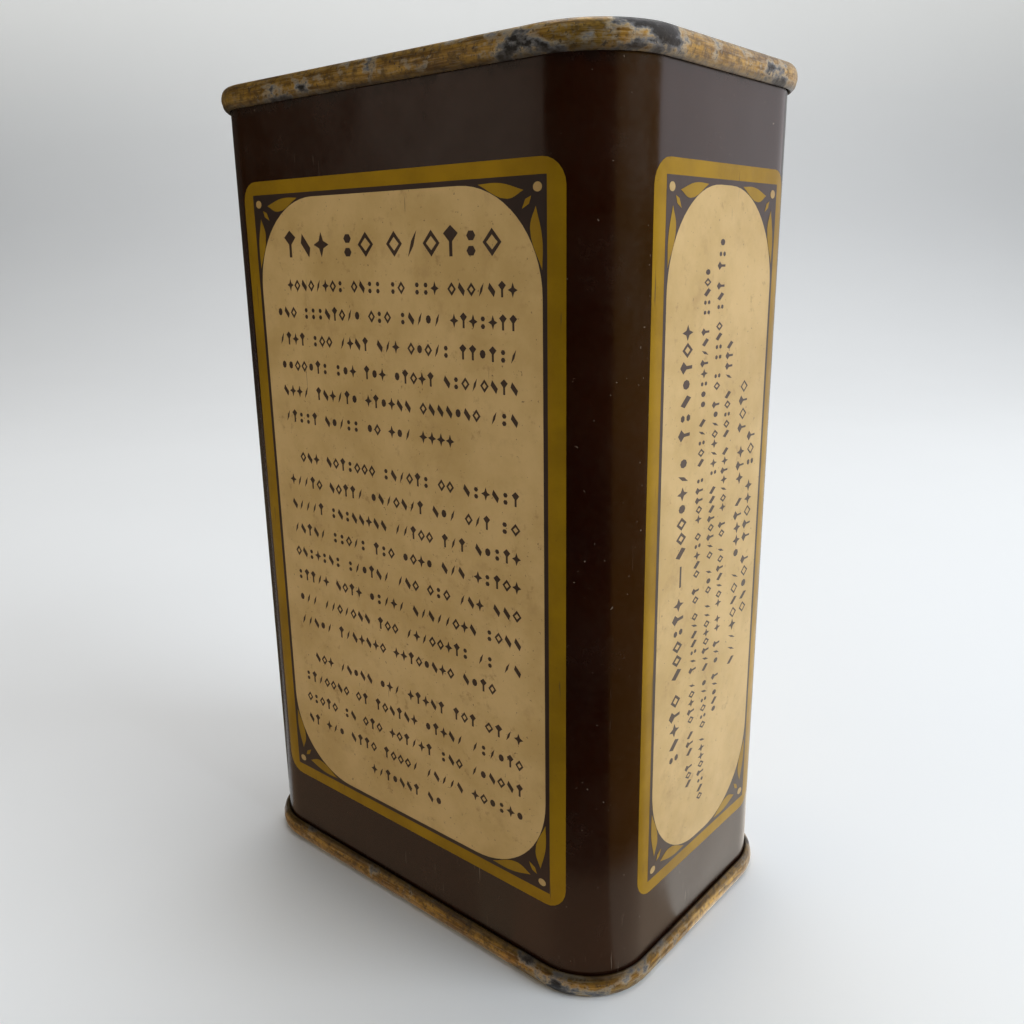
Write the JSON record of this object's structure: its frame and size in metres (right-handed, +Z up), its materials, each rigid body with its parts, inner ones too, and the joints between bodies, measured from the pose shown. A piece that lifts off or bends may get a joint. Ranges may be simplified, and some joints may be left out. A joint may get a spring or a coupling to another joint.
{
  "type": "spice tin",
  "caption": "Upright rectangular tinplate spice tin with rounded corners, double-seamed top and bottom ends and a pry-up plug lid.",
  "frame": {"origin": "centre of the ring of the bottom seam that the tin stands on", "axes": "+Z up the tin, +X across the wide sides, +Y from the wide panel described as the back of the tin towards the front panel"},
  "size_m": [0.0714, 0.0464, 0.1143],
  "materials": {
    "litho_body": "dark brown lithographed lacquer, semi-gloss, lightly scratched",
    "gold_ends": "gold lacquer worn to grey tinplate on the edges",
    "gold_lid": "gold lacquer, lightly scuffed",
    "solder": "dull lead-tin solder",
    "compound": "dull sealing compound"
  },
  "bodies": {
    "tin": {"body_wrap": "litho_body", "side_seam_solder": "solder", "bottom_end": "gold_ends", "bottom_seam_compound": "compound", "top_end": "gold_ends", "top_seam_compound": "compound"},
    "lid": {"plug_lid": "gold_lid"}
  },
  "joints": [
    {"name": "lid_lift", "type": "slide", "parent": "tin", "child": "lid", "axis": [0, 0, 1], "range_m": [0, 0.045]}
  ]
}
